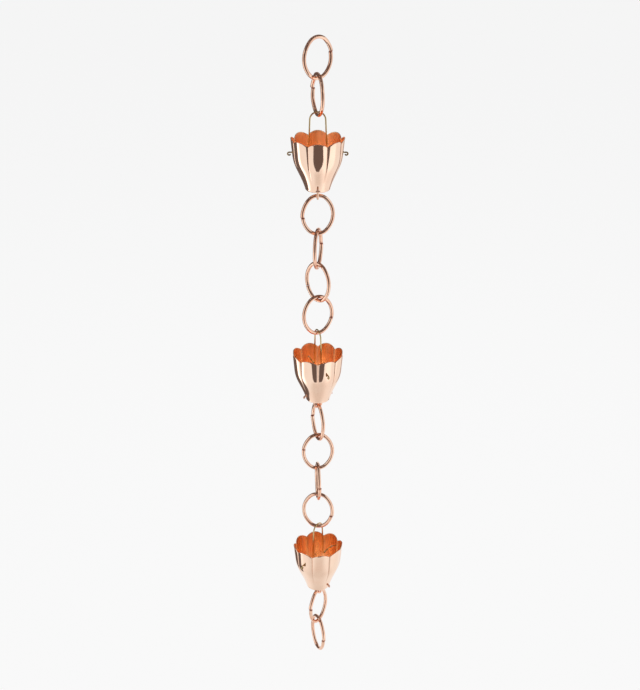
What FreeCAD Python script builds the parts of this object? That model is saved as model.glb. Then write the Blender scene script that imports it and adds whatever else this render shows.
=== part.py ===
import FreeCAD, Part
import math
import os

import Sketcher

# Rain chain: oval copper wire links, tulip cups on thin wire bails, and wire eyes under the cups.
# Millimetres, +Z up. The origin is where a hook bears, under the top wire of the first link.

SIZES = {
    # Links: wire bent to an oval, its ends butted with a narrow seam on one side.
    "link_height": 52.0,
    "link_width": 41.2,
    "link_wire": 4.5,
    "link_clearance": 0.3,
    "seam_gap": 0.5,
    # Cup: peak radius of the petals at each height above the base.
    "cup_height": 63.5,
    "cup_wall": 0.8,
    "cup_base_radius": 15.0,
    "cup_neck_height": 9.0,
    "cup_neck_radius": 17.3,
    "cup_flare_height": 20.4,
    "cup_flare_radius": 22.4,
    "cup_belly_height": 34.0,
    "cup_belly_radius": 28.1,
    "cup_shoulder_height": 47.0,
    "cup_shoulder_radius": 30.2,
    "cup_mouth_radius": 31.9,
    "cup_base_round": 2.6,
    "crease_start": 11.0,
    "crease_depth": 1.6,
    "petal_rise": 4.6,
    "drain_radius": 7.2,
    # Bail: thin wire arch whose feet turn out through the cup's wall and curl outside.
    "bail_wire": 1.8,
    "bail_height": 48.0,
    "bail_arch_radius": 9.2,
    "bail_spread": 10.8,
    "bail_bend_radius": 2.2,
    "bail_sag": 2.0,
    "bail_kick_radius": 4.0,
    "bail_curl_radius": 1.7,
    "foot_drop": 18.0,
    "foot_clearance": 0.3,
    "foot_inside": 5.0,
    "foot_proud": 3.4,
    # Eye: wire loop that hangs through the drain, its feet turned out through the cup's wall and down.
    "eye_wire": 2.6,
    "eye_drop": 11.1,
    "eye_radius": 4.6,
    "eye_rise": 6.6,
    "eye_proud": 0.5,
    "eye_curl_radius": 1.5,
    "eye_seat": 0.05,
}

# Each link's turn about the chain, and how far up round the oval its seam lies from one side, in degrees.
LINKS = {
    "link_01": (34.0, 12.5),
    "link_02": (108.5, 10.0),
    "link_03": (191.5, -6.2),
    "link_04": (78.0, 2.5),
    "link_05": (136.0, -21.5),
    "link_06": (22.5, -13.8),
    "link_07": (110.5, 1.2),
    "link_08": (187.0, 10.0),
    "link_09": (-84.5, -1.2),
    "link_10": (-8.0, -17.6),
    "link_11": (238.0, 7.5),
    "link_12": (-66.5, -5.0),
}

# Each cup's turn about the chain: the bail's feet lie along this direction.
CUPS = {"upper": 0.0, "middle": -67.5, "lower": 52.5}

# From the hook down: two links, then four links under each of two cups and two under the last.
ORDER = [
    ("link_01", "link_02"),
    "upper",
    ("link_03", "link_04", "link_05", "link_06"),
    "middle",
    ("link_07", "link_08", "link_09", "link_10"),
    "lower",
    ("link_11", "link_12"),
]

PETALS = 8
HALF_PETAL = 180.0 / PETALS

doc = FreeCAD.newDocument("rain_chain")
sheet = doc.addObject("Spreadsheet::Sheet", "Sizes")
for row, (alias, number) in enumerate(SIZES.items(), start=1):
    sheet.set("A%d" % row, alias)
    sheet.set("B%d" % row, str(number))
    sheet.setAlias("B%d" % row, alias)
doc.recompute()


def sized(text):
    """Puts the sheet's name before each size in an expression, the longest names first."""
    for alias in sorted(SIZES, key=len, reverse=True):
        text = text.replace(alias, "{%d}" % list(SIZES).index(alias))
    for index, alias in enumerate(SIZES):
        text = text.replace("{%d}" % index, "Sizes." + alias)
    return text


def value(text):
    """Number that an expression in the sheet's sizes comes to."""
    return float(sheet.evalExpression(sized(text)))


def origin_feature(body, role):
    for feature in body.Origin.OriginFeatures:
        if feature.Role == role:
            return feature
    raise RuntimeError("no origin feature " + role)


def sketch_on(body, role, name):
    sketch = body.newObject("Sketcher::SketchObject", name)
    sketch.AttachmentSupport = [(origin_feature(body, role), "")]
    sketch.MapMode = "FlatFace"
    return sketch


def bound(sketch, name, text, kind, *places):
    """Adds one dimension and ties it to the sheet."""
    index = sketch.addConstraint(Sketcher.Constraint(kind, *places, value(text)))
    sketch.renameConstraint(index, name)
    sketch.setExpression("Constraints." + name, sized(text))


def tangent(sketch, first, first_end, second, second_end):
    sketch.addConstraint(Sketcher.Constraint("Tangent", first, first_end, second, second_end))


def arc(x, y, radius, start, end):
    """Arc in a sketch, anticlockwise between two angles in degrees."""
    circle = Part.Circle(FreeCAD.Vector(x, y, 0), FreeCAD.Vector(0, 0, 1), radius)
    return Part.ArcOfCircle(circle, math.radians(start), math.radians(end))


def line(x1, y1, x2, y2):
    return Part.LineSegment(FreeCAD.Vector(x1, y1, 0), FreeCAD.Vector(x2, y2, 0))


def wire_section(body, role, name, diameter, x_text, y_text):
    """Round section of a wire, its centre at the given place in a plane of the body."""
    sketch = sketch_on(body, role, name)
    centre = FreeCAD.Vector(value(x_text), value(y_text), 0)
    sketch.addGeometry(Part.Circle(centre, FreeCAD.Vector(0, 0, 1), value(diameter) / 2), False)
    if x_text == "0":
        sketch.addConstraint(Sketcher.Constraint("PointOnObject", 0, 3, -2))
    else:
        bound(sketch, "across", x_text, "DistanceX", -1, 1, 0, 3)
    if y_text == "0":
        sketch.addConstraint(Sketcher.Constraint("PointOnObject", 0, 3, -1))
    elif value(y_text) > 0:
        bound(sketch, "up", y_text, "DistanceY", -1, 1, 0, 3)
    else:
        bound(sketch, "down", "-1 * (" + y_text + ")", "DistanceY", 0, 3, -1, 1)
    bound(sketch, "diameter", diameter, "Diameter", 0)
    return sketch


def sweep(body, name, section, path):
    pipe = body.newObject("PartDesign::AdditivePipe", name)
    pipe.Profile = section
    pipe.Spine = path
    pipe.Mode = "Standard"
    doc.recompute()
    return pipe


def mirrored(body, name, feature):
    mirror = body.newObject("PartDesign::Mirrored", name)
    mirror.Originals = [feature]
    mirror.MirrorPlane = (origin_feature(body, "YZ_Plane"), [""])
    body.Tip = mirror
    doc.recompute()
    return mirror


def cut_away(body, pocket):
    """Turns a pocket round if it points away from the solid, and stops if it still cuts nothing."""
    before = pocket.BaseFeature.Shape.Volume
    doc.recompute()
    if pocket.Shape.isNull() or before - pocket.Shape.Volume < 1e-3:
        pocket.Reversed = not pocket.Reversed
        doc.recompute()
    if before - pocket.Shape.Volume < 1e-3:
        raise RuntimeError(body.Label + ": " + pocket.Name + " cuts nothing")


def new_body(label, turn, level):
    """Body turned about the chain, its level tied to the sheet."""
    body = doc.addObject("PartDesign::Body", label)
    body.Label = label
    body.Placement = FreeCAD.Placement(
        FreeCAD.Vector(0, 0, value(level)), FreeCAD.Rotation(FreeCAD.Vector(0, 0, 1), turn)
    )
    body.setExpression(".Placement.Base.z", sized(level))
    return body


# The link's centre line is an oval of four tangent arcs. Their centres all lie this far from its middle.
OVAL_OFFSET = "(link_height - link_width) / 2 / (2 - sqrt(2))"
HALF_TALL = "(link_height - link_wire) / 2"
HALF_WIDE = "(link_width - link_wire) / 2"


def make_link(label, turn, seam_turn, level):
    body = new_body(label, turn, level)
    offset = value(OVAL_OFFSET)
    end_radius = value(HALF_TALL) - offset
    side_radius = value(HALF_WIDE) + offset

    path = sketch_on(body, "XZ_Plane", label + "_path")
    path.addGeometry(
        [
            arc(-offset, 0, side_radius, 0, 45),
            arc(0, offset, end_radius, 45, 135),
            arc(offset, 0, side_radius, 135, 225),
            arc(0, -offset, end_radius, 225, 315),
            arc(-offset, 0, side_radius, -45, 0),
        ],
        False,
    )
    for first in range(4):
        tangent(path, first, 2, first + 1, 1)
    for side in (0, 2):
        path.addConstraint(Sketcher.Constraint("PointOnObject", side, 3, -1))
    for end in (1, 3):
        path.addConstraint(Sketcher.Constraint("PointOnObject", end, 3, -2))
    path.addConstraint(Sketcher.Constraint("Coincident", 0, 3, 4, 3))
    path.addConstraint(Sketcher.Constraint("PointOnObject", 0, 1, -1))
    path.addConstraint(Sketcher.Constraint("PointOnObject", 4, 2, -1))
    bound(path, "end_radius", HALF_TALL + " - " + OVAL_OFFSET, "Radius", 1)
    bound(path, "top_centre", OVAL_OFFSET, "DistanceY", -1, 1, 1, 3)
    bound(path, "right_centre", OVAL_OFFSET, "DistanceX", 0, 3, -1, 1)
    bound(path, "left_centre", OVAL_OFFSET, "DistanceX", -1, 1, 2, 3)
    bound(path, "bottom_centre", OVAL_OFFSET, "DistanceY", 3, 3, -1, 1)

    section = wire_section(body, "XY_Plane", label + "_section", "link_wire", HALF_WIDE, "0")
    sweep(body, label + "_oval", section, path)

    # The seam is a saw cut across the wire, where the ends butt.
    seam = sketch_on(body, "XZ_Plane", label + "_seam")
    inner = value("link_width / 2 - 2 * link_wire")
    outer = value("link_width / 2 + link_wire")
    under = "(" + HALF_TALL + " * sin(%.9g) - seam_gap / 2)" % seam_turn
    low = value(under)
    high = low + value("seam_gap")
    seam.addGeometry(
        [
            line(inner, low, outer, low),
            line(outer, low, outer, high),
            line(outer, high, inner, high),
            line(inner, high, inner, low),
        ],
        False,
    )
    for first in range(4):
        seam.addConstraint(Sketcher.Constraint("Coincident", first, 2, (first + 1) % 4, 1))
    for flat in (0, 2):
        seam.addConstraint(Sketcher.Constraint("Horizontal", flat))
    for upright in (1, 3):
        seam.addConstraint(Sketcher.Constraint("Vertical", upright))
    bound(seam, "inner", "link_width / 2 - 2 * link_wire", "DistanceX", -1, 1, 0, 1)
    bound(seam, "outer", "link_width / 2 + link_wire", "DistanceX", -1, 1, 0, 2)
    bound(seam, "gap", "seam_gap", "DistanceY", 0, 2, 1, 2)
    if low >= 0:
        bound(seam, "above", under, "DistanceY", -1, 1, 0, 1)
    else:
        bound(seam, "below", "-1 * " + under, "DistanceY", 0, 1, -1, 1)
    pocket = body.newObject("PartDesign::Pocket", label + "_seam_cut")
    pocket.Profile = seam
    pocket.Type = "ThroughAll"
    pocket.Midplane = True
    cut_away(body, pocket)
    return body


# Heights and peak radii of the cup's stations, from the base to just over the petal tips.
TRIM = "petal_rise"
STATIONS = [
    ("cup_base_round", "cup_base_radius"),
    ("cup_neck_height", "cup_neck_radius"),
    ("cup_flare_height", "cup_flare_radius"),
    ("cup_belly_height", "cup_belly_radius"),
    ("cup_shoulder_height", "cup_shoulder_radius"),
    ("cup_height", "cup_mouth_radius"),
]
RIM_SLOPE = "(cup_mouth_radius - cup_shoulder_radius) / (cup_height - cup_shoulder_height)"
OVER_HEIGHT = "(cup_height + " + TRIM + ")"
OVER_RADIUS = "(cup_mouth_radius + " + RIM_SLOPE + " * " + TRIM + ")"
STATIONS.append((OVER_HEIGHT, OVER_RADIUS))


def crease_at(height):
    """Depth of the creases between the petals, none up to where they start."""
    share = "(" + height + " - crease_start) / (cup_height - crease_start)"
    return "crease_depth * max(0; " + share + ")"


def wall_at(index):
    """Level thickness of the leaning wall at a station."""
    if index == 0:
        return "cup_wall"
    below = STATIONS[index - 1]
    above = STATIONS[min(index + 1, len(STATIONS) - 1)]
    lean = "((" + above[1] + " - " + below[1] + ") / (" + above[0] + " - (" + below[0] + ")))"
    return "cup_wall * sqrt(1 + " + lean + " ^ 2)"


def petal_ring(body, name, height, peak, valley):
    """Level section of the cup: one arc for each petal, meeting at the creases."""
    sketch = sketch_on(body, "XY_Plane", name)
    sketch.AttachmentOffset = FreeCAD.Placement(FreeCAD.Vector(0, 0, value(height)), FreeCAD.Rotation())
    sketch.setExpression("AttachmentOffset.Base.z", sized(height))
    half_wide = "(" + valley + ") * sin(%.9g)" % HALF_PETAL
    bulge = "(" + peak + " - (" + valley + ") * cos(%.9g))" % HALF_PETAL
    radius = "((" + half_wide + ") ^ 2 + " + bulge + " ^ 2) / (2 * " + bulge + ")"
    arc_radius = value(radius)
    centre = value(peak) - arc_radius
    spread = math.degrees(math.asin(value(half_wide) / arc_radius))
    petals = []
    for petal in range(PETALS):
        angle = petal * 2 * HALF_PETAL
        x = centre * math.cos(math.radians(angle))
        y = centre * math.sin(math.radians(angle))
        petals.append(arc(x, y, arc_radius, angle - spread, angle + spread))
    sketch.addGeometry(petals, False)
    for petal in range(PETALS):
        sketch.addConstraint(Sketcher.Constraint("Coincident", petal, 2, (petal + 1) % PETALS, 1))
    for petal in range(PETALS):
        angle = (2 * petal - 1) * HALF_PETAL
        bound(sketch, "radius_%d" % petal, radius, "Radius", petal)
        for axis, part in (("X", math.cos(math.radians(angle))), ("Y", math.sin(math.radians(angle)))):
            text = "(" + valley + ") * %.12g" % abs(part)
            ends = (-1, 1, petal, 1) if part > 0 else (petal, 1, -1, 1)
            bound(sketch, "crease_%s_%d" % (axis.lower(), petal), text, "Distance" + axis, *ends)
    return sketch


def loft(body, kind, name, sections):
    feature = body.newObject("PartDesign::" + kind, name)
    feature.Profile = sections[0]
    feature.Sections = sections[1:]
    feature.Ruled = False
    feature.Closed = False
    doc.recompute()
    return feature


def turned_pan(body, kind, name, floor, corner):
    """Round pan at the foot of the cup, up to where the petals' sections start, with a rounded corner."""
    sketch = sketch_on(body, "XZ_Plane", name + "_profile")
    low = value(floor)
    high = value("cup_base_round")
    radius = value(corner)
    flat = value("cup_base_radius - cup_base_round")
    sketch.addGeometry(
        [
            line(0, low, flat, low),
            arc(flat, high, radius, 270, 360),
            line(flat + radius, high, 0, high),
            line(0, high, 0, low),
        ],
        False,
    )
    tangent(sketch, 0, 2, 1, 1)
    for first in (1, 2, 3):
        sketch.addConstraint(Sketcher.Constraint("Coincident", first, 2, (first + 1) % 4, 1))
    for level in (0, 2):
        sketch.addConstraint(Sketcher.Constraint("Horizontal", level))
    sketch.addConstraint(Sketcher.Constraint("PointOnObject", 0, 1, -2))
    sketch.addConstraint(Sketcher.Constraint("PointOnObject", 2, 2, -2))
    if floor == "0":
        sketch.addConstraint(Sketcher.Constraint("PointOnObject", 0, 2, -1))
    else:
        bound(sketch, "floor", floor, "DistanceY", -1, 1, 0, 2)
    bound(sketch, "corner", corner, "Radius", 1)
    bound(sketch, "flat", "cup_base_radius - cup_base_round", "DistanceX", -1, 1, 1, 3)
    bound(sketch, "pan_height", "cup_base_round", "DistanceY", -1, 1, 1, 2)
    feature = body.newObject("PartDesign::" + kind, name)
    feature.Profile = sketch
    feature.ReferenceAxis = (sketch, ["V_Axis"])
    feature.Angle = 360
    doc.recompute()
    return feature


FOOT_LEVEL = "(cup_height - foot_drop)"


def make_cup(label, turn, level):
    body = new_body(label, turn, level)

    outer = []
    inner = []
    for index, (height, peak) in enumerate(STATIONS):
        valley = peak + " - " + crease_at(height)
        outer.append(petal_ring(body, "%s_outer_%d" % (label, index), height, peak, valley))
    turned_pan(body, "Revolution", label + "_pan", "0", "cup_base_round")
    loft(body, "AdditiveLoft", label + "_outside", outer)
    for index, (height, peak) in enumerate(STATIONS):
        valley = peak + " - " + crease_at(height)
        thick = " - " + wall_at(index)
        inner.append(petal_ring(body, "%s_inner_%d" % (label, index), height, peak + thick, valley + thick))
    loft(body, "SubtractiveLoft", label + "_inside", inner)
    turned_pan(body, "Groove", label + "_pan_inside", "cup_wall", "cup_base_round - cup_wall")

    drain = sketch_on(body, "XY_Plane", label + "_drain")
    drain.addGeometry(Part.Circle(FreeCAD.Vector(), FreeCAD.Vector(0, 0, 1), value("drain_radius")), False)
    drain.addConstraint(Sketcher.Constraint("Coincident", 0, 3, -1, 1))
    bound(drain, "drain_radius", "drain_radius", "Radius", 0)
    drain_cut = body.newObject("PartDesign::Pocket", label + "_drain_cut")
    drain_cut.Profile = drain
    drain_cut.Type = "Length"
    drain_cut.Length = value("2 * cup_wall")
    drain_cut.setExpression("Length", sized("2 * cup_wall"))
    cut_away(body, drain_cut)

    # Each petal's tip is an arch: what stands above it is cut away, with sides that lean into the next petal.
    tip = sketch_on(body, "XZ_Plane", label + "_tip")
    half_wide = "(cup_mouth_radius - crease_depth) * sin(%.9g)" % HALF_PETAL
    tip_radius = "((" + half_wide + ") ^ 2 + petal_rise ^ 2) / (2 * petal_rise)"
    wide = value(half_wide)
    radius = value(tip_radius)
    high = value("cup_height")
    low = value("cup_height - petal_rise")
    top = value(OVER_HEIGHT + " + " + TRIM)
    out = value(half_wide + " + petal_rise")
    spread = math.degrees(math.asin(wide / radius))
    tip.addGeometry(
        [
            arc(0, high - radius, radius, 90 - spread, 90 + spread),
            line(wide, low, out, top),
            line(out, top, -out, top),
            line(-out, top, -wide, low),
        ],
        False,
    )
    tip.addConstraint(Sketcher.Constraint("Coincident", 0, 1, 1, 1))
    tip.addConstraint(Sketcher.Constraint("Coincident", 1, 2, 2, 1))
    tip.addConstraint(Sketcher.Constraint("Coincident", 2, 2, 3, 1))
    tip.addConstraint(Sketcher.Constraint("Coincident", 3, 2, 0, 2))
    tip.addConstraint(Sketcher.Constraint("Symmetric", 0, 1, 0, 2, -2))
    tip.addConstraint(Sketcher.Constraint("Symmetric", 2, 1, 2, 2, -2))
    bound(tip, "arch", tip_radius, "Radius", 0)
    bound(tip, "half_wide", half_wide, "DistanceX", -1, 1, 0, 1)
    bound(tip, "valley", "cup_height - petal_rise", "DistanceY", -1, 1, 0, 1)
    bound(tip, "out", half_wide + " + petal_rise", "DistanceX", -1, 1, 1, 2)
    bound(tip, "top", OVER_HEIGHT + " + " + TRIM, "DistanceY", -1, 1, 1, 2)
    tip_cut = body.newObject("PartDesign::Pocket", label + "_tip_cut")
    tip_cut.Profile = tip
    tip_cut.Type = "ThroughAll"
    cut_away(body, tip_cut)
    tips = body.newObject("PartDesign::PolarPattern", label + "_tips")
    tips.Originals = [tip_cut]
    tips.Axis = (origin_feature(body, "Z_Axis"), [""])
    tips.Angle = 360
    tips.Occurrences = PETALS
    body.Tip = tips
    doc.recompute()

    # Two holes for the bail's feet, and two low down across them for the eye's.
    for role, name, hole, height in (
        ("YZ_Plane", "_foot", "bail_wire + 2 * foot_clearance", FOOT_LEVEL),
        ("XZ_Plane", "_eye", "eye_wire + 2 * eye_seat", "eye_rise"),
    ):
        holes = wire_section(body, role, label + name + "_holes", hole, "0", height)
        cut = body.newObject("PartDesign::Pocket", label + name + "_cut")
        cut.Profile = holes
        cut.Type = "ThroughAll"
        cut.Midplane = True
        cut_away(body, cut)
    return body


# Radius of the cup's outside where the bail's feet pass through it.
FOOT_RADIUS = (
    "(cup_belly_radius + (cup_shoulder_radius - cup_belly_radius)"
    " * (cup_height - foot_drop - cup_belly_height) / (cup_shoulder_height - cup_belly_height))"
)


def make_bail(label, turn, level):
    body = new_body(label, turn, level)
    wire_arch = value("bail_arch_radius")
    bend = value("bail_bend_radius")
    kick = value("bail_kick_radius")
    curl = value("bail_curl_radius")
    arch_z = value("bail_height - bail_arch_radius")
    bend_x = value("bail_spread + bail_bend_radius")
    bend_z = value("bail_bend_radius - bail_sag")
    kick_x = value(FOOT_RADIUS + " - foot_inside")
    foot_x = value(FOOT_RADIUS + " + foot_proud")

    # The leg is the line that touches the arch and the lower bend, and leans out by this angle.
    away = math.hypot(bend_x, bend_z - arch_z)
    lean = math.atan2(bend_z - arch_z, bend_x) + math.acos((wire_arch + bend) / away)
    # The foot rises from the lower bend to the hole's line at this angle.
    rise_x = kick_x - bend_x
    rise_z = -kick - bend_z
    rise = math.atan2(rise_z, rise_x) + math.asin((bend + kick) / math.hypot(rise_x, rise_z))
    leg_top = (wire_arch * math.cos(lean), arch_z + wire_arch * math.sin(lean))
    leg_end = (bend_x - bend * math.cos(lean), bend_z - bend * math.sin(lean))
    foot_start = (bend_x + bend * math.sin(rise), bend_z - bend * math.cos(rise))
    foot_end = (kick_x - kick * math.sin(rise), -kick + kick * math.cos(rise))
    lean = math.degrees(lean)
    rise = math.degrees(rise)

    path = sketch_on(body, "XZ_Plane", label + "_path")
    path.addGeometry(
        [
            arc(0, arch_z, wire_arch, lean, 90),
            line(*leg_top, *leg_end),
            arc(bend_x, bend_z, bend, 180 + lean, 270 + rise),
            line(*foot_start, *foot_end),
            arc(kick_x, -kick, kick, 90, 90 + rise),
            line(kick_x, 0, foot_x, 0),
            arc(foot_x, -curl, curl, -160, 90),
        ],
        False,
    )
    tangent(path, 0, 1, 1, 1)
    tangent(path, 1, 2, 2, 1)
    tangent(path, 2, 2, 3, 1)
    tangent(path, 3, 2, 4, 2)
    tangent(path, 4, 1, 5, 1)
    tangent(path, 5, 2, 6, 2)
    path.addConstraint(Sketcher.Constraint("PointOnObject", 0, 3, -2))
    path.addConstraint(Sketcher.Constraint("PointOnObject", 0, 2, -2))
    path.addConstraint(Sketcher.Constraint("PointOnObject", 5, 1, -1))
    path.addConstraint(Sketcher.Constraint("PointOnObject", 5, 2, -1))
    bound(path, "arch_radius", "bail_arch_radius", "Radius", 0)
    bound(path, "arch_height", "bail_height - bail_arch_radius", "DistanceY", -1, 1, 0, 3)
    bound(path, "bend_radius", "bail_bend_radius", "Radius", 2)
    bound(path, "spread", "bail_spread + bail_bend_radius", "DistanceX", -1, 1, 2, 3)
    bound(path, "kick_radius", "bail_kick_radius", "Radius", 4)
    bound(path, "foot_start", FOOT_RADIUS + " - foot_inside", "DistanceX", -1, 1, 5, 1)
    bound(path, "foot_end", FOOT_RADIUS + " + foot_proud", "DistanceX", -1, 1, 5, 2)
    bound(path, "curl_radius", "bail_curl_radius", "Radius", 6)
    bound(path, "curl_end", "bail_curl_radius * sin(20)", "DistanceY", 6, 1, 6, 3)
    if bend_z >= 0:
        bound(path, "bend_height", "bail_bend_radius - bail_sag", "DistanceY", -1, 1, 2, 3)
    else:
        bound(path, "bend_depth", "bail_sag - bail_bend_radius", "DistanceY", 2, 3, -1, 1)

    section = wire_section(body, "YZ_Plane", label + "_section", "bail_wire", "0", "bail_height")
    half = sweep(body, label + "_half", section, path)
    mirrored(body, label + "_both", half)
    return body


# Radius of the cup's outside where the eye's feet pass through it, and the bend that turns them out.
EYE_FOOT = (
    "(cup_base_radius + (cup_neck_radius - cup_base_radius)"
    " * (eye_rise - cup_base_round) / (cup_neck_height - cup_base_round) + eye_proud)"
)
EYE_BEND = "(drain_radius - eye_radius)"


def make_eye(label, turn, level):
    body = new_body(label, turn, level)
    loop = value("eye_radius")
    bend = value(EYE_BEND)
    loop_z = value("eye_radius - eye_drop")
    foot_z = value("eye_rise")
    foot_x = value(EYE_FOOT)
    curl = value("eye_curl_radius")

    path = sketch_on(body, "XZ_Plane", label + "_path")
    path.addGeometry(
        [
            arc(0, loop_z, loop, 270, 360),
            line(loop, loop_z, loop, foot_z - bend),
            arc(loop + bend, foot_z - bend, bend, 90, 180),
            line(loop + bend, foot_z, foot_x, foot_z),
            arc(foot_x, foot_z - curl, curl, -30, 90),
        ],
        False,
    )
    tangent(path, 0, 2, 1, 1)
    tangent(path, 1, 2, 2, 2)
    tangent(path, 2, 1, 3, 1)
    tangent(path, 3, 2, 4, 2)
    path.addConstraint(Sketcher.Constraint("PointOnObject", 0, 3, -2))
    path.addConstraint(Sketcher.Constraint("PointOnObject", 0, 1, -2))
    path.addConstraint(Sketcher.Constraint("Vertical", 1))
    path.addConstraint(Sketcher.Constraint("Horizontal", 3))
    bound(path, "loop_radius", "eye_radius", "Radius", 0)
    bound(path, "loop_depth", "eye_drop - eye_radius", "DistanceY", 0, 3, -1, 1)
    bound(path, "bend_radius", EYE_BEND, "Radius", 2)
    bound(path, "foot_level", "eye_rise", "DistanceY", -1, 1, 3, 2)
    bound(path, "foot_end", EYE_FOOT, "DistanceX", -1, 1, 3, 2)
    bound(path, "curl_radius", "eye_curl_radius", "Radius", 4)
    bound(path, "curl_end", "eye_curl_radius / 2", "DistanceY", 4, 1, 4, 3)

    section = wire_section(body, "YZ_Plane", label + "_section", "eye_wire", "0", "-1 * eye_drop")
    half = sweep(body, label + "_half", section, path)
    mirrored(body, label + "_both", half)
    return body


# Steps down the chain, from middle to middle of linked links and on to the bails, cups and eyes.
FIRST_LINK = "-1 * (link_height / 2 - link_wire)"
LINK_STEP = " - (link_height - 2 * link_wire - link_clearance)"
BAIL_STEP = " - " + HALF_TALL + " + (link_wire + bail_wire) / 2 + link_clearance - bail_height"
CUP_STEP = " - " + FOOT_LEVEL
EYE_STEP = " - eye_drop + (eye_wire + link_wire) / 2 + link_clearance - " + HALF_TALL

pieces = []
level = FIRST_LINK
for group in ORDER:
    if isinstance(group, tuple):
        for place, name in enumerate(group):
            if place > 0:
                level += LINK_STEP
            turn, seam_turn = LINKS[name]
            pieces.append(make_link(name, turn, seam_turn, level))
    else:
        turn = CUPS[group]
        level += BAIL_STEP
        pieces.append(make_bail("bail_" + group, turn, level))
        level += CUP_STEP
        pieces.append(make_cup("cup_" + group, turn, level))
        pieces.append(make_eye("eye_" + group, turn + 90, level))
        level += EYE_STEP

doc.recompute()

for item in doc.Objects:
    if "Invalid" in item.State or "Error" in item.State:
        raise RuntimeError(item.Label + " failed: " + str(item.State))
for piece in pieces:
    shape = piece.Shape
    if shape.isNull() or not shape.isValid() or len(shape.Solids) != 1:
        raise RuntimeError(piece.Label + " is not one valid solid")

os.makedirs("parts", exist_ok=True)
for piece in pieces:
    piece.Shape.exportStep("parts/" + piece.Label + ".step")
    box = piece.Shape.BoundBox
    print(piece.Label, "%.1f mm3" % piece.Shape.Volume, "z %.2f to %.2f" % (box.ZMin, box.ZMax))
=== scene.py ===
import math

import bpy
import numpy as np
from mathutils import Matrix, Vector


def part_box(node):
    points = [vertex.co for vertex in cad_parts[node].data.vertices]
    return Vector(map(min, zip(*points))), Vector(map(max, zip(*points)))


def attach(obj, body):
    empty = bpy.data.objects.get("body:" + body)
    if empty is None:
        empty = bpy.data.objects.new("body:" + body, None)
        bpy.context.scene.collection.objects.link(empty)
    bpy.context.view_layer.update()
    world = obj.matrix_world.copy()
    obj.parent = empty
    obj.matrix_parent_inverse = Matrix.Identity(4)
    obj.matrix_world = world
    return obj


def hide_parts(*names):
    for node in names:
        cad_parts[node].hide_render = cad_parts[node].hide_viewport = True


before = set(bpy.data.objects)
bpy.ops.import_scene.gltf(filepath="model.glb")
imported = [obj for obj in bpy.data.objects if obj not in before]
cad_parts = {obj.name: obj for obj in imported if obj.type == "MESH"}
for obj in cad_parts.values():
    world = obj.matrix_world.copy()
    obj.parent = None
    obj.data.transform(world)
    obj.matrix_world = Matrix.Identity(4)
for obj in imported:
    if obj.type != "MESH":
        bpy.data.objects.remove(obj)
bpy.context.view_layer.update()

# Sizes in millimetres, as in the part's source; the frame is in metres. Angles are in degrees.
MM = 0.001
LINK = {"height": 52.0, "width": 41.2, "wire": 4.5, "seam": 0.5}
BAIL = {
    "wire": 1.8,
    "height": 48.0,
    "arch": 9.2,
    "spread": 10.8,
    "bend": 2.2,
    "sag": 2.0,
    "kick": 4.0,
    "inside": 5.0,
    "proud": 3.4,
    "curl": 1.7,
    "curl_end": -160.0,
}
EYE = {
    "wire": 2.6,
    "drop": 11.1,
    "loop": 4.6,
    "bend": 2.6,
    "rise": 6.6,
    "proud": 0.5,
    "curl": 1.5,
    "curl_end": -30.0,
}
CUP = {
    "height": 63.5,
    "wall": 0.8,
    "round": 2.6,
    "drain": 7.2,
    "crease_start": 11.0,
    "crease": 1.6,
    "tip": 4.6,
    "foot_drop": 18.0,
    "foot_hole": 1.2,
    "eye_hole": 1.35,
}
FOOT_Z = CUP["height"] - CUP["foot_drop"]
PETALS = 8
HALF_PETAL = math.pi / PETALS
# Greatest radius of the petals at heights over the base; the last station lies past the rim.
STATION_Z = np.array([2.6, 9.0, 20.4, 34.0, 47.0, 63.5, 68.1])
STATION_R = np.array([15.0, 17.3, 22.4, 28.1, 30.2, 31.9, 32.374])
RIM_RADIUS = STATION_R[5]

# Turn about the chain and place of the seam.
LINKS = {
    "link_01": (34.0, 12.5),
    "link_02": (108.5, 10.0),
    "link_03": (191.5, -6.2),
    "link_04": (78.0, 2.5),
    "link_05": (136.0, -21.5),
    "link_06": (22.5, -13.8),
    "link_07": (110.5, 1.2),
    "link_08": (187.0, 10.0),
    "link_09": (-84.5, -1.2),
    "link_10": (-8.0, -17.6),
    "link_11": (238.0, 7.5),
    "link_12": (-66.5, -5.0),
}
# Turn of each cup, with its bail and eye.
CUPS = {"upper": 0.0, "middle": -67.5, "lower": 52.5}


# Meshes


def turned(points, turn, level):
    """Points of a piece's own frame, in mm, turned about the chain and set at a level, in metres."""
    a = math.radians(turn)
    out = np.empty_like(points)
    out[:, 0] = points[:, 0] * math.cos(a) - points[:, 1] * math.sin(a)
    out[:, 1] = points[:, 0] * math.sin(a) + points[:, 1] * math.cos(a)
    out[:, 2] = points[:, 2] + level
    return out * MM


def new_piece(name, points, faces, materials, face_material=None):
    mesh = bpy.data.meshes.new(name)
    mesh.from_pydata([tuple(p) for p in points], [], faces)
    for m in materials:
        mesh.materials.append(m)
    if face_material is not None:
        mesh.polygons.foreach_set("material_index", face_material)
    mesh.polygons.foreach_set("use_smooth", [True] * len(mesh.polygons))
    mesh.update()
    piece = bpy.data.objects.new(name, mesh)
    bpy.context.scene.collection.objects.link(piece)
    return piece


def give_values(piece, name, values):
    attribute = piece.data.attributes.new(name, "FLOAT", "POINT")
    attribute.data.foreach_set("value", np.asarray(values, np.float32))


def band(low, high, count):
    """Faces between two rings of as many points, by the rings' numbers."""
    faces = []
    for c in range(count):
        d = (c + 1) % count
        faces.append((low * count + c, low * count + d, high * count + d, high * count + c))
    return faces


def waves(seed, count, low, high):
    """Small set of smooth waves for hand-made unevenness, each its frequency, phase and weight."""
    rng = np.random.default_rng(seed)
    draws = []
    for _ in range(count):
        draws.append((rng.uniform(low, high), rng.uniform(0, 2 * math.pi), rng.uniform(0.5, 1)))
    return draws


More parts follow.
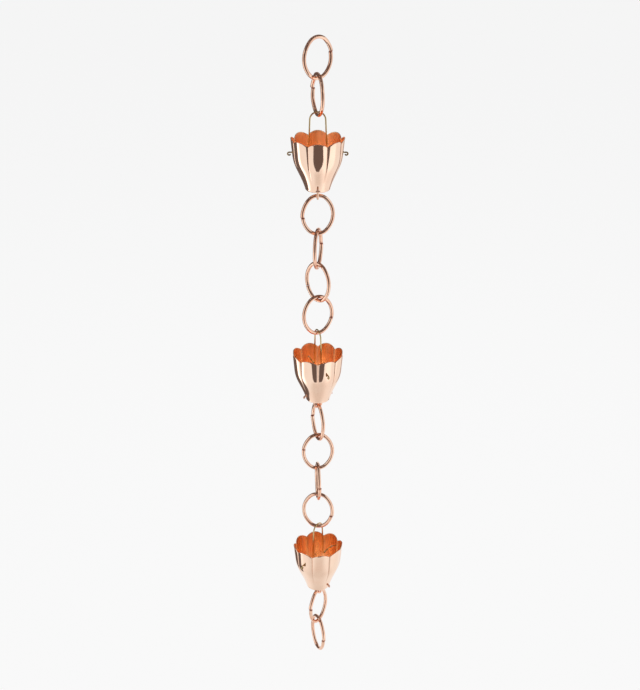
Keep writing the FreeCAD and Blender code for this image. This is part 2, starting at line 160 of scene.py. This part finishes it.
def fade(distance, reach):
    """1 at no distance, falling smoothly to nothing a few reaches away."""
    return np.exp(-((distance / reach) ** 2))


def ramp(value, start, length):
    """0 up to the start, rising to 1 over the length."""
    return np.clip((value - start) / length, 0, 1)


# Wire

END_ROUND = np.radians([0, 30, 60, 90])
END_CLEAR = 1.2
WIRE_SHARP = math.radians(38)


def arc_points(x, z, radius, start, end, step=3.0):
    n = max(3, int(abs(end - start) / step) + 1)
    a = np.radians(np.linspace(start, end, n))
    return np.column_stack([x + radius * np.cos(a), z + radius * np.sin(a)])


def run_along(path):
    """Distance along a line at each of its points."""
    return np.r_[0, np.cumsum(np.linalg.norm(np.diff(path, axis=0), axis=1))]


def both_sides(half, gap):
    """Line from half of it, mirrored, with points at an even distance."""
    path = np.vstack([half[::-1] * [-1, 1], half[1:]])
    same_point = 1e-6
    path = path[np.r_[True, np.linalg.norm(np.diff(path, axis=0), axis=1) > same_point]]
    run = run_along(path)
    at = np.linspace(0, run[-1], int(run[-1] / gap) + 1)
    return np.column_stack([np.interp(at, run, path[:, i]) for i in range(2)])


def wire_piece(name, path, diameter, turn, level, material, ring, cut, side=0.0):
    """Round wire with eased ends, along a line in the piece's XZ plane; side moves it out of that."""
    n = len(path)
    line = np.column_stack([path[:, 0], np.broadcast_to(side, n), path[:, 1]])
    run = run_along(line)
    tangent = np.gradient(line, run, axis=0)
    tangent /= np.linalg.norm(tangent, axis=1)[:, None]
    across = np.cross(np.array([0.0, 1.0, 0.0]), tangent)
    across /= np.linalg.norm(across, axis=1)[:, None]
    up = np.cross(tangent, across)
    full = diameter / 2

    def rounded_end(end, inward):
        rings = []
        for a in END_ROUND:
            centre = line[end] + inward * tangent[end] * cut * (1 - math.cos(a))
            rings.append((centre, full - cut * (1 - math.sin(a)), end))
        return rings

    # Rings at the wire's points, and at each cut end a quarter round from the face to the side.
    clear = cut * END_CLEAR
    middle = [(line[i], full, i) for i in range(n) if clear < run[i] < run[-1] - clear]
    stations = rounded_end(0, 1) + middle + rounded_end(n - 1, -1)[::-1]
    points, from_end = [], []
    for centre, radius, i in stations:
        for a in np.linspace(0, 2 * math.pi, ring, endpoint=False):
            points.append(centre + radius * (math.cos(a) * across[i] + math.sin(a) * up[i]))
            from_end.append(min(run[i], run[-1] - run[i]))
    rows = len(stations)
    faces = []
    for i in range(rows - 1):
        faces.extend(band(i, i + 1, ring))
    faces.append(tuple(range(ring))[::-1])
    faces.append(tuple((rows - 1) * ring + j for j in range(ring)))
    piece = new_piece(name, turned(np.array(points), turn, level), faces, [material])
    give_values(piece, "from_end", from_end)
    piece.data.set_sharp_from_angle(angle=WIRE_SHARP)
    return piece


# Links

# The oval is four arcs, wide at the sides and tight at the ends.
ARC_OFFSET = (LINK["height"] - LINK["width"]) / 2 / (2 - math.sqrt(2))
END_RADIUS = (LINK["height"] - LINK["wire"]) / 2 - ARC_OFFSET
SIDE_RADIUS = (LINK["width"] - LINK["wire"]) / 2 + ARC_OFFSET
OVAL_ARCS = (
    (-ARC_OFFSET, 0, SIDE_RADIUS),
    (0, ARC_OFFSET, END_RADIUS),
    (ARC_OFFSET, 0, SIDE_RADIUS),
    (0, -ARC_OFFSET, END_RADIUS),
)
LINK_POINTS = 260
# About the wire's length, and how far its ends stand out, in and to the side.
LINK_RUN = 130
END_OUT, END_IN, OUT_REACH = 0.34, 0.12, 5.5
END_LEAN, LEAN_REACH = 0.3, 6.0
WAVER, LINK_SEED = 0.16, 100


def oval(angle):
    """Point of the link's centre line where its outward direction has this angle."""
    x, z, r = OVAL_ARCS[int((angle + 45) % 360 // 90)]
    return x + r * math.cos(math.radians(angle)), z + r * math.sin(math.radians(angle))


def build_link(name, index, material):
    turn, seam = LINKS[name]
    low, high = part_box(name)
    level = (low.z + high.z) / 2 / MM
    rise = (LINK["height"] - LINK["wire"]) / 2 * math.sin(math.radians(seam))
    start = math.degrees(math.asin(rise / SIDE_RADIUS))
    half_gap = math.degrees(LINK["seam"] / 2 / SIDE_RADIUS)
    angles = np.linspace(start + half_gap, start + 360 - half_gap, LINK_POINTS)
    path = np.array([oval(a) for a in angles])
    share = np.linspace(0, 1, LINK_POINTS)
    first, last = share * LINK_RUN, (1 - share) * LINK_RUN
    # The two ends don't quite meet: one stands out, and they lean to different sides.
    out = END_OUT * fade(first, OUT_REACH) - END_IN * fade(last, OUT_REACH)
    path = path + out[:, None] * np.column_stack([np.cos(np.radians(angles)), np.sin(np.radians(angles))])
    lean = END_LEAN * (fade(first, LEAN_REACH) - fade(last, LEAN_REACH))
    # Slight waver of the sides, none where the links bear on each other.
    calm = np.cos(np.radians(angles)) ** 2
    for f, p, w in waves(LINK_SEED + index, 3, 1.5, 4.5):
        lean = lean + WAVER * w * calm * np.sin(2 * math.pi * f * share + p)
    side = lean if index % 2 else -lean
    return wire_piece(
        name + "_wire", path, LINK["wire"], turn, level, material, ring=28, cut=0.3, side=side
    )


# Bails and eyes


def build_bail(name, turn, material):
    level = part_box(name)[1].z / MM - BAIL["wire"] / 2 - BAIL["height"]
    wall = np.interp(FOOT_Z, STATION_Z, STATION_R)
    arch, bend, kick, curl = BAIL["arch"], BAIL["bend"], BAIL["kick"], BAIL["curl"]
    arch_z = BAIL["height"] - arch
    bend_x, bend_z = BAIL["spread"] + bend, bend - BAIL["sag"]
    kick_x, foot_x = wall - BAIL["inside"], wall + BAIL["proud"]
    # Straight runs that touch both bends they join: down the side, and up from the sag to the kick.
    fall_z = bend_z - arch_z
    lean = math.atan2(fall_z, bend_x) + math.acos((arch + bend) / math.hypot(bend_x, fall_z))
    rise_x, rise_z = kick_x - bend_x, -kick - bend_z
    rise = math.atan2(rise_z, rise_x) + math.asin((bend + kick) / math.hypot(rise_x, rise_z))
    lean, rise = math.degrees(lean), math.degrees(rise)
    half = np.vstack(
        [
            arc_points(0, arch_z, arch, 90, lean),
            arc_points(bend_x, bend_z, bend, 180 + lean, 270 + rise, step=6),
            arc_points(kick_x, -kick, kick, 90 + rise, 90, step=6),
            arc_points(foot_x, -curl, curl, 90, BAIL["curl_end"], step=6),
        ]
    )
    path = both_sides(half, gap=0.55)
    return wire_piece(name + "_wire", path, BAIL["wire"], turn, level, material, ring=18, cut=0.25)


def build_eye(name, turn, level, material):
    loop, bend, rise, curl = EYE["loop"], EYE["bend"], EYE["rise"], EYE["curl"]
    foot_x = np.interp(rise, STATION_Z, STATION_R) + EYE["proud"]
    half = np.vstack(
        [
            arc_points(0, loop - EYE["drop"], loop, 270, 360),
            arc_points(loop + bend, rise - bend, bend, 180, 90, step=5),
            arc_points(foot_x, rise - curl, curl, 90, EYE["curl_end"], step=6),
        ]
    )
    path = both_sides(half, gap=0.45)
    return wire_piece(name + "_wire", path, EYE["wire"], turn + 90, level, material, ring=22, cut=0.3)


# Cups

OUTSIDE, INSIDE = 0, 1
PETAL_COLUMNS, EVEN_SHARE = 28, 0.35
TIP_GUESS, TIP_ROUNDS = 60.0, 4
WALL_RINGS = 64
FLAT_RINGS, FLAT_START = 5, 0.9
CORNER = np.radians(np.linspace(-78, -12, 6))
LIP = np.radians([35, 70, 110, 145])
# Eased edge of the drain, as distances out and from the face.
DRAIN_EDGE = ((0.0, 0.2), (0.06, 0.06), (0.2, 0.0))
CUP_SHARP = math.radians(48)
HOLE_SIDES, CUTTER_REACH = 40, 60.0
# Unevenness: how far a petal leans, the groove along a crease, and the sheet's waves.
PETAL_LEAN, LEAN_FROM, LEAN_OVER = 0.22, 14, 45
GROOVE_DEPTH, GROOVE_WIDTH, GROOVE_ONSET = 0.5, 0.5, 1.6
WAVE_DEPTH, WAVE_FROM, WAVE_OVER = 0.035, 9, 12
WAVE_LENGTH, WAVE_LENGTH_STEP = 7.0, 2.3
LEAN_SEED, WAVE_SEED = 40, 60
# Half-width of the painted crease mask (painted shade on the outside, painted highlight on the inside),
# and the crease's depth where that mask is full.
SHADE_AND_GLINT_WIDTH, SHADE_AND_GLINT_FULL = 0.7, 0.8


def spline_bend(x, y):
    """Second derivative at each station of the cubic through them with its ends free."""
    n = len(x)
    h = np.diff(x)
    m = np.zeros((n, n))
    v = np.zeros(n)
    m[0, 0] = m[-1, -1] = 1
    for i in range(1, n - 1):
        m[i, i - 1 : i + 2] = h[i - 1], 2 * (h[i - 1] + h[i]), h[i]
        v[i] = 6 * ((y[i + 1] - y[i]) / h[i] - (y[i] - y[i - 1]) / h[i - 1])
    return np.linalg.solve(m, v)


STATION_BEND = spline_bend(STATION_Z, STATION_R)


def smooth_profile(z):
    """Greatest radius of the petals at a height, on the cubic through the stations."""
    x, y, k = STATION_Z, STATION_R, STATION_BEND
    i = np.clip(np.searchsorted(x, z) - 1, 0, len(x) - 2)
    h = x[i + 1] - x[i]
    a, b = x[i + 1] - z, z - x[i]
    bent = (k[i] * a**3 + k[i + 1] * b**3) / (6 * h)
    return bent + (y[i] / h - k[i] * h / 6) * a + (y[i + 1] / h - k[i + 1] * h / 6) * b


def crease_depth(z):
    start = CUP["crease_start"]
    return CUP["crease"] * np.maximum(0, (z - start) / (CUP["height"] - start))


def petal_radius(z, angle, inset):
    """Radius of the petalled wall at a height and at an angle from the petal's middle."""
    peak = smooth_profile(z) - inset
    valley = peak - crease_depth(z)
    half = valley * math.sin(HALF_PETAL)
    bulge = peak - valley * math.cos(HALF_PETAL)
    r = (half**2 + bulge**2) / (2 * bulge)
    c = peak - r
    return c * np.cos(angle) + np.sqrt(np.maximum(r**2 - (c * np.sin(angle)) ** 2, 0))


def level_wall(z):
    """Level thickness of the leaning wall, from its slope over 1 mm."""
    slope = smooth_profile(z + 0.5) - smooth_profile(z - 0.5)
    return CUP["wall"] * np.sqrt(1 + slope**2)


def petal_tops(relative):
    """Height of each petal's rounded tip over the columns, settled in a few rounds."""
    half = (RIM_RADIUS - CUP["crease"]) * math.sin(HALF_PETAL)
    tip_r = (half**2 + CUP["tip"] ** 2) / (2 * CUP["tip"])
    top = np.full(len(relative), TIP_GUESS)
    for _ in range(TIP_ROUNDS):
        t = petal_radius(top, relative, 0) * np.sin(relative)
        top = CUP["height"] - tip_r + np.sqrt(tip_r**2 - np.minimum(np.abs(t), half) ** 2)
    return top


def signed_volume(mesh):
    mesh.calc_loop_triangles()
    co = np.array([v.co for v in mesh.vertices])
    tri = np.array([t.vertices for t in mesh.loop_triangles])
    a, b, c = co[tri[:, 0]], co[tri[:, 1]], co[tri[:, 2]]
    return float(np.einsum("ij,ij->i", a, np.cross(b, c)).sum() / 6)


def face_outward(piece):
    if signed_volume(piece.data) < 0:
        piece.data.flip_normals()


def cut_holes(piece, name, turn, level, material):
    """Two holes for the bail's feet and two for the eye's, each pair cut by one long rod."""
    cutters = []
    for along, radius, z in ((0, CUP["foot_hole"], FOOT_Z), (90, CUP["eye_hole"], EYE["rise"])):
        a = np.linspace(0, 2 * math.pi, HOLE_SIDES, endpoint=False)
        one = np.column_stack(
            [np.full(HOLE_SIDES, -CUTTER_REACH), radius * np.cos(a), z + radius * np.sin(a)]
        )
        points = turned(np.vstack([one, one * [-1, 1, 1]]), turn + along, level)
        ends = [tuple(range(HOLE_SIDES))[::-1], tuple(range(HOLE_SIDES, 2 * HOLE_SIDES))]
        faces = band(0, 1, HOLE_SIDES) + ends
        cutters.append(new_piece(name + "_cutter_%d" % along, points, faces, [material]))
    for cutter in cutters:
        face_outward(cutter)
        cut = piece.modifiers.new("hole", "BOOLEAN")
        cut.operation = "DIFFERENCE"
        cut.solver = "EXACT"
        cut.object = cutter
    depsgraph = bpy.context.evaluated_depsgraph_get()
    made = bpy.data.meshes.new_from_object(piece.evaluated_get(depsgraph))
    piece.modifiers.clear()
    old = piece.data
    piece.data = made
    bpy.data.meshes.remove(old)
    made.name = name + "_sheet"
    for cutter in cutters:
        bpy.data.objects.remove(cutter)


def build_cup(name, turn, index, outside, inside):
    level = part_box(name)[0].z / MM
    # Columns lie closer together towards the creases.
    share = np.linspace(-1, 1, PETAL_COLUMNS + 1)[:-1]
    one_petal = HALF_PETAL * (EVEN_SHARE * share + (1 - EVEN_SHARE) * np.sin(math.pi / 2 * share))
    relative = np.tile(one_petal, PETALS)
    petal = np.repeat(np.arange(PETALS), PETAL_COLUMNS)
    columns = relative + 2 * HALF_PETAL * petal
    cols = len(columns)

    # Hand-made unevenness: each petal leans a little, and the sheet waves slightly.
    lean = np.random.default_rng(LEAN_SEED + index).uniform(-PETAL_LEAN, PETAL_LEAN, PETALS)
    wave = waves(WAVE_SEED + index, 5, 2, 7)

    def uneven(z):
        grow = ramp(z, LEAN_FROM, LEAN_OVER) ** 2
        move = lean[petal] * grow * np.cos(relative / HALF_PETAL * math.pi / 2)
        # The sheet is pinched to a narrow groove along each crease, a ridge on the inside.
        off = (HALF_PETAL - np.abs(relative)) * smooth_profile(z)
        onset = np.clip(crease_depth(z) / CUP["crease"] * GROOVE_ONSET, 0, 1)
        move = move - GROOVE_DEPTH * fade(off, GROOVE_WIDTH) * onset
        for i, (f, p, w) in enumerate(wave):
            ripple = np.sin(round(f) * columns + p) * np.sin(z / (WAVE_LENGTH + WAVE_LENGTH_STEP * i) + p)
            move = move + WAVE_DEPTH * w * ripple * ramp(z, WAVE_FROM, WAVE_OVER)
        return move

    rows, kind, crease = [], [], []

    def ring(r, z, face_kind, is_wall=False):
        r = np.broadcast_to(np.asarray(r, float), cols)
        z = np.broadcast_to(np.asarray(z, float), cols)
        rows.append(np.column_stack([r * np.cos(columns), r * np.sin(columns), z]))
        kind.append(face_kind)
        # Mask of painted light along the creases: painted shade on the outside, painted highlight on the
        # ridges inside.
        tint = np.zeros(cols)
        if is_wall:
            off = (HALF_PETAL - np.abs(relative)) * r
            tint = fade(off, SHADE_AND_GLINT_WIDTH) * np.clip(crease_depth(z) / SHADE_AND_GLINT_FULL, 0, 1)
        crease.append(tint)

    wall, corner, drain = CUP["wall"], CUP["round"], CUP["drain"]
    flat = STATION_R[0] - corner
    flat_radii = np.linspace(drain + FLAT_START, flat, FLAT_RINGS)
    lip = wall / 2
    z_lip = petal_tops(relative) - lip
    wall_heights = [corner + (z_lip - corner) * w for w in np.linspace(0, 1, WALL_RINGS)]
    # Under the base, out from the drain, round the corner and up the outside.
    for out, up in DRAIN_EDGE:
        ring(drain + out, up, OUTSIDE)
    for r in flat_radii:
        ring(r, 0, OUTSIDE)
    for a in CORNER:
        ring(flat + corner * math.cos(a), corner + corner * math.sin(a), OUTSIDE)
    for z in wall_heights:
        ring(petal_radius(z, relative, 0) + uneven(z), z, OUTSIDE, True)
    # Over the rolled lip.
    outer = petal_radius(z_lip, relative, 0) + uneven(z_lip)
    half_wall = level_wall(z_lip) / 2
    for a in LIP:
        ring(outer - half_wall + half_wall * math.cos(a), z_lip + lip * math.sin(a), OUTSIDE)
    # Down the inside, round the inner corner and in to the drain.
    for z in wall_heights[::-1]:
        ring(petal_radius(z, relative, level_wall(z)) + uneven(z), z, INSIDE, True)
    inner_corner = corner - wall
    for a in CORNER[::-1]:
        ring(flat + inner_corner * math.cos(a), corner + inner_corner * math.sin(a), INSIDE)
    for r in flat_radii[::-1]:
        ring(r, wall, INSIDE)
    for out, down in DRAIN_EDGE[::-1]:
        ring(drain + out, wall - down, INSIDE)

    # The last band closes the drain's edge and is part of the outside.
    faces, face_kind = [], []
    count = len(rows)
    for i in range(count):
        j = (i + 1) % count
        faces.extend(band(i, j, cols))
        face_kind.extend([kind[j]] * cols)
    points = turned(np.vstack(rows), turn, level)
    piece = new_piece(name + "_sheet", points, faces, [outside, inside], face_kind)
    # The crease mask carries the painted shade and the painted highlight to the two materials.
    give_values(piece, "crease", np.concatenate(crease))
    face_outward(piece)
    cut_holes(piece, name, turn, level, outside)
    sheet = piece.data
    sheet.polygons.foreach_set("use_smooth", [True] * len(sheet.polygons))
    sheet.set_sharp_from_angle(angle=CUP_SHARP)
    return piece


# Materials


class Nodes:
    """Short way to wire up the nodes of one material or of the world."""

    def __init__(self, owner):
        owner.use_nodes = True
        self.owner = owner
        self.tree = owner.node_tree

    def add(self, kind, **settings):
        node = self.tree.nodes.new(kind)
        for key, setting in settings.items():
            setattr(node, key, setting)
        return node

    def link(self, a, b):
        self.tree.links.new(a, b)

    def feed(self, socket, source):
        if hasattr(source, "is_output"):
            self.link(source, socket)
        else:
            socket.default_value = source

    def place(self, stretch=(1, 1, 1)):
        """Object coordinates in metres, stretched."""
        where = self.add("ShaderNodeTexCoord").outputs["Object"]
        mapping = self.add("ShaderNodeMapping")
        mapping.inputs["Scale"].default_value = stretch
        self.link(where, mapping.inputs["Vector"])
        return mapping.outputs["Vector"]

    def noise(self, vector, scale, detail, rough=0.5):
        node = self.add("ShaderNodeTexNoise")
        node.inputs["Scale"].default_value = scale
        node.inputs["Detail"].default_value = detail
        node.inputs["Roughness"].default_value = rough
        self.link(vector, node.inputs["Vector"])
        return node.outputs["Fac"]

    def attribute(self, name):
        return self.add("ShaderNodeAttribute", attribute_name=name).outputs["Fac"]

    def spread(self, source, low, high, to_low=0.0, to_high=1.0):
        node = self.add("ShaderNodeMapRange", interpolation_type="SMOOTHSTEP")
        self.link(source, node.inputs["Value"])
        ranges = {"From Min": low, "From Max": high, "To Min": to_low, "To Max": to_high}
        for key, number in ranges.items():
            node.inputs[key].default_value = number
        return node.outputs["Result"]

    def mix(self, share, a, b):
        node = self.add("ShaderNodeMix", data_type="RGBA")
        self.feed(node.inputs["Factor"], share)
        for name, source in (("A", a), ("B", b)):
            socket = next(s for s in node.inputs if s.name == name and s.type == "RGBA")
            self.feed(socket, source if hasattr(source, "is_output") else (*source, 1))
        return next(s for s in node.outputs if s.type == "RGBA")

    def maths(self, operation, a, b=0.0):
        node = self.add("ShaderNodeMath", operation=operation)
        self.feed(node.inputs[0], a)
        self.feed(node.inputs[1], b)
        return node.outputs[0]

    def bump(self, source, distance, strength):
        node = self.add("ShaderNodeBump")
        node.inputs["Distance"].default_value = distance
        node.inputs["Strength"].default_value = strength
        self.link(source, node.inputs["Height"])
        return node.outputs["Normal"]

    def metal(self, colour, roughness, normal):
        shader = self.tree.nodes["Principled BSDF"]
        shader.inputs["Metallic"].default_value = 1.0
        self.link(colour, shader.inputs["Base Color"])
        self.link(roughness, shader.inputs["Roughness"])
        self.link(normal, shader.inputs["Normal"])
        return self.owner

    def shader(self, kind, colour, strength=None):
        node = self.add(kind)
        node.inputs["Color"].default_value = (*colour, 1)
        if strength is not None:
            node.inputs["Strength"].default_value = strength
        return node.outputs[0]

    def blend(self, share, a, b):
        node = self.add("ShaderNodeMixShader")
        self.link(share, node.inputs[0])
        self.link(a, node.inputs[1])
        self.link(b, node.inputs[2])
        return node.outputs[0]

    def shown_as_is(self):
        """1 for rays from the camera, off gloss and through glass."""
        path = self.add("ShaderNodeLightPath")
        total = path.outputs["Is Camera Ray"]
        for other in ("Is Glossy Ray", "Is Transmission Ray"):
            total = self.maths("MAXIMUM", total, path.outputs[other])
        return total


def polished_sheet():
    """Outside of the cups: polished pale copper, painted shade in the creases, faintly rubbed up the
    sheet.
    """
    n = Nodes(bpy.data.materials.new("copper_polished"))
    cloud = n.noise(n.place(), 38, 3)
    fine = n.noise(n.place((1, 1, 0.06)), 900, 4, 0.6)
    spots = n.noise(n.place(), 260, 5, 0.65)
    crease = n.attribute("crease")
    pale, warm = (0.985, 0.735, 0.575), (0.97, 0.68, 0.52)
    crease_shade, spotted = (0.5, 0.24, 0.15), (0.78, 0.46, 0.32)
    colour = n.mix(n.spread(cloud, 0.35, 0.7), pale, warm)
    # Painted shade: the creases are browned as if they lay in shade.
    colour = n.mix(n.maths("MULTIPLY", crease, 0.5), colour, crease_shade)
    colour = n.mix(n.spread(spots, 0.68, 0.8, 0, 0.3), colour, spotted)
    rough = n.maths("ADD", n.spread(cloud, 0.3, 0.75, 0.05, 0.09), n.spread(fine, 0.4, 0.75, 0, 0.04))
    rough = n.maths("ADD", rough, n.maths("MULTIPLY", crease, 0.2))
    return n.metal(colour, rough, n.bump(fine, 0.000008, 0.5))


def inner_sheet():
    """Inside of the cups: duller orange copper with streaks down it and painted highlights on the ridges
    at the creases.
    """
    n = Nodes(bpy.data.materials.new("copper_inside"))
    streak = n.noise(n.place((1, 1, 0.03)), 110, 2)
    cloud = n.noise(n.place(), 40, 2)
    orange, deep = (0.98, 0.58, 0.32), (0.94, 0.46, 0.22)
    light, ridge_highlight = (0.98, 0.6, 0.34), (1.0, 0.84, 0.6)
    colour = n.mix(n.spread(streak, 0.36, 0.66), orange, deep)
    colour = n.mix(n.spread(cloud, 0.45, 0.75, 0, 0.5), colour, light)
    # Painted highlight: the ridges at the creases are made paler, as if they caught the light.
    ridge_highlight_share = n.maths("POWER", n.attribute("crease"), 0.16)
    colour = n.mix(n.maths("MULTIPLY", ridge_highlight_share, 0.85), colour, ridge_highlight)
    rough = n.spread(streak, 0.36, 0.64, 0.24, 0.46)
    return n.metal(colour, rough, n.bump(streak, 0.00004, 0.5))


def drawn_wire(name, pale, mid, tarnish_and_end_shade, tarnish, low_rough, high_rough, end_shade_length):
    """Drawn wire: a drifting tint, fine marks, and painted shade that darkens the ends over the given
    length in mm.
    """
    n = Nodes(bpy.data.materials.new(name))
    drift = n.noise(n.place(), 55, 3, 0.55)
    patch = n.noise(n.place(), 140, 5, 0.65)
    grain = n.noise(n.place(), 1700, 4, 0.6)
    colour = n.mix(n.spread(drift, 0.32, 0.62), pale, mid)
    colour = n.mix(n.spread(patch, 0.55, 0.75, 0, tarnish), colour, tarnish_and_end_shade)
    # Painted shade: the wire darkens towards its ends, over the whole curl of the bail's feet; the same
    # colour also serves the real tarnish patches.
    colour = n.mix(n.spread(n.attribute("from_end"), 0.25, end_shade_length, 0.85, 0.0), colour, tarnish_and_end_shade)
    rough = n.spread(patch, 0.35, 0.7, low_rough, high_rough)
    rough = n.maths("ADD", rough, n.spread(grain, 0.45, 0.8, 0, 0.05))
    return n.metal(colour, rough, n.bump(grain, 0.00001, 0.4))


copper_out = polished_sheet()
copper_in = inner_sheet()
copper_wire = drawn_wire(
    "copper_wire",
    pale=(0.96, 0.67, 0.51),
    mid=(0.9, 0.54, 0.39),
    tarnish_and_end_shade=(0.5, 0.22, 0.15),
    tarnish=0.4,
    low_rough=0.05,
    high_rough=0.1,
    # painted shade at the cut ends of the links and of the eyes' feet
    end_shade_length=2.2,
)
brass_wire = drawn_wire(
    "brass_wire",
    pale=(0.76, 0.6, 0.32),
    mid=(0.66, 0.5, 0.24),
    tarnish_and_end_shade=(0.3, 0.2, 0.09),
    tarnish=0.45,
    low_rough=0.08,
    high_rough=0.18,
    # painted shade over the bail's curled feet
    end_shade_length=11.0,
)


# Pieces on their bodies

for index, name in enumerate(LINKS):
    piece = build_link(name, index, copper_wire)
    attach(piece, name)
    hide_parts(name)
for index, (group, turn) in enumerate(CUPS.items()):
    cup, bail, eye = "cup_" + group, "bail_" + group, "eye_" + group
    piece = build_bail(bail, turn, brass_wire)
    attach(piece, bail)
    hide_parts(bail)
    piece = build_cup(cup, turn, index, copper_out, copper_in)
    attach(piece, cup)
    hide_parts(cup)
    piece = build_eye(eye, turn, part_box(cup)[0].z / MM, copper_wire)
    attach(piece, cup)
    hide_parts(eye)


# Stage, light and camera, in metres

# What the camera and the metal see of the floor and of the world past it, and the world's other light.
WHITE = (0.94, 0.94, 0.94)
HORIZON = (0.92, 0.92, 0.92)
FILL = (0.3, 0.3, 0.3)
FLOOR_Z = -1.07
FLOOR_HALF = 9
FLOOR_COLOUR = (0.8, 0.8, 0.8)
# Share of the floor that is seen as plain white; the rest is lit and keeps the shadow.
FLOOR_GLOW = 0.96
CARD_Z = FLOOR_Z + 0.01
GREY_CARD_Z = CARD_Z + 0.005
# Tints of the cards.
PLAIN = (1.0, 1.0, 1.0)
DIM = (1.0, 0.78, 0.72)
WARM = (1.0, 0.96, 0.93)

world = bpy.data.worlds.new("studio")
bpy.context.scene.world = world
n = Nodes(world)
n.tree.nodes.clear()
fill = n.shader("ShaderNodeBackground", FILL)
seen = n.shader("ShaderNodeBackground", HORIZON)
n.link(n.blend(n.shown_as_is(), fill, seen), n.add("ShaderNodeOutputWorld").inputs[0])


def upright(y, low, high):
    """Corners of a card across the view; each edge is its left, right and height."""
    return [(low[0], y, low[2]), (low[1], y, low[2]), (high[1], y, high[2]), (high[0], y, high[2])]


def beside(x, near, far, top):
    """Corners of a card along the view, from the floor up."""
    return [(x, near, CARD_Z), (x, far, CARD_Z), (x, far, top), (x, near, top)]


def level_card(left, right, near, far, z):
    return [(left, near, z), (right, near, z), (right, far, z), (left, far, z)]


def stage_panel(name, corners):
    """Single face on the stage, with an empty material to wire up."""
    mesh = bpy.data.meshes.new(name)
    mesh.from_pydata(corners, [], [(0, 1, 2, 3)])
    piece = bpy.data.objects.new(name, mesh)
    bpy.context.scene.collection.objects.link(piece)
    n = Nodes(bpy.data.materials.new(name))
    n.tree.nodes.clear()
    mesh.materials.append(n.owner)
    return piece, n


def card(name, corners, level, tint, soft):
    """Soft-edged studio card that only the metal reflects, brighter or darker than the white round it."""
    piece, n = stage_panel(name, corners)
    square = piece.data.uv_layers.new(name="square")
    for loop, place in zip(square.data, ((0, 0), (1, 0), (1, 1), (0, 1))):
        loop.uv = place
    halves = n.add("ShaderNodeSeparateXYZ")
    n.link(n.add("ShaderNodeUVMap", uv_map="square").outputs["UV"], halves.inputs[0])
    edges = []
    for axis in (0, 1):
        off = n.maths("ABSOLUTE", n.maths("SUBTRACT", halves.outputs[axis], 0.5))
        edges.append(n.spread(off, 0.5 - soft[axis], 0.5, 1.0, 0.0))
    shown = n.maths("MULTIPLY", edges[0], edges[1])
    clear = n.shader("ShaderNodeBsdfTransparent", PLAIN)
    light = n.shader("ShaderNodeEmission", tint, level)
    n.link(n.blend(shown, clear, light), n.add("ShaderNodeOutputMaterial").inputs[0])
    piece.visible_camera = False
    piece.visible_diffuse = False
    piece.visible_shadow = False


corners = level_card(-FLOOR_HALF, FLOOR_HALF, -FLOOR_HALF, FLOOR_HALF, FLOOR_Z)
n = stage_panel("floor", corners)[1]
matt = n.shader("ShaderNodeBsdfDiffuse", FLOOR_COLOUR)
white = n.shader("ShaderNodeEmission", WHITE)
share = n.maths("MULTIPLY", n.shown_as_is(), FLOOR_GLOW)
n.link(n.blend(share, matt, white), n.add("ShaderNodeOutputMaterial").inputs[0])

# Dark cards in front, at both sides behind and overhead, as the metal in the photograph shows them.
low_front = upright(-0.562, (-0.13, 0.12, CARD_Z), (-0.2, 0.2, -0.84))
mid_front = upright(-0.56, (-0.2, 0.2, -0.85), (-0.32, 0.46, -0.41))
high_front = upright(-0.561, (-0.36, 0.5, -0.42), (-0.7, 0.8, 0.06))
room = upright(-1.8, (-1.6, 1.6, 0.02), (-1.6, 1.6, 1.2))
card("dark_front_low", low_front, 0.14, DIM, (0.04, 0.001))
card("dark_front_mid", mid_front, 0.14, DIM, (0.04, 0.001))
card("dark_front_high", high_front, 0.14, DIM, (0.08, 0.001))
card("dark_left", beside(-0.3, 0.05, 1.2, 0.5), 0.14, DIM, (0.02, 0.001))
card("dark_right", beside(0.5, 0.42, 1.0, 0.3), 0.42, DIM, (0.2, 0.001))
card("dark_top", level_card(-1.4, 1.4, -1.5, 2.2, 0.55), 0.15, DIM, (0.1, 0.04))
card("dark_room", room, 0.15, DIM, (0.1, 0.08))
# Bright cards low at both sides, and a dimmer one close in front.
card("bright_right", level_card(0.3, 3.2, -2.0, -0.02, CARD_Z), 1.2, PLAIN, (0.12, 0.2))
card("bright_left", level_card(-3.2, -0.4, -0.25, 1.6, CARD_Z), 2.1, PLAIN, (0.12, 0.2))
card("grey_front", level_card(-0.4, 0.4, -0.62, 0.1, GREY_CARD_Z), 0.76, WARM, (0.4, 0.35))

# Lamps above the front, the right and the back, for the insides of the cups: place, size and watts.
LAMPS = {
    "key": ((-1.0, -1.2, 1.5), 1.2, 36),
    "top": ((0.5, -0.3, 1.7), 1.0, 30),
    "back": ((0.3, 1.5, 1.4), 1.0, 45),
}
LAMP_AIM = Vector((0, 0, -0.4))
for name, (place, size, watts) in LAMPS.items():
    lamp = bpy.data.objects.new(name, bpy.data.lights.new(name, "AREA"))
    lamp.data.size = size
    lamp.data.energy = watts
    lamp.location = place
    lamp.rotation_euler = (LAMP_AIM - Vector(place)).to_track_quat("-Z", "Y").to_euler()
    bpy.context.scene.collection.objects.link(lamp)

# The camera's focal length was fitted in pixels of the picture's height.
SENSOR = 36
FOCAL_PIXELS = 1500
PICTURE_HEIGHT = 690
LOOK_DOWN = 23.7
camera = bpy.data.objects.new("camera", bpy.data.cameras.new("camera"))
camera.data.sensor_width = SENSOR
camera.data.lens = FOCAL_PIXELS * SENSOR / PICTURE_HEIGHT
camera.location = (0.0026, -1.6877, 0.3635)
camera.rotation_euler = (math.radians(90 - LOOK_DOWN), 0, 0)
camera.data.clip_start, camera.data.clip_end = 0.05, 60
bpy.context.scene.collection.objects.link(camera)
bpy.context.scene.camera = camera
bpy.context.scene.view_settings.view_transform = "Standard"
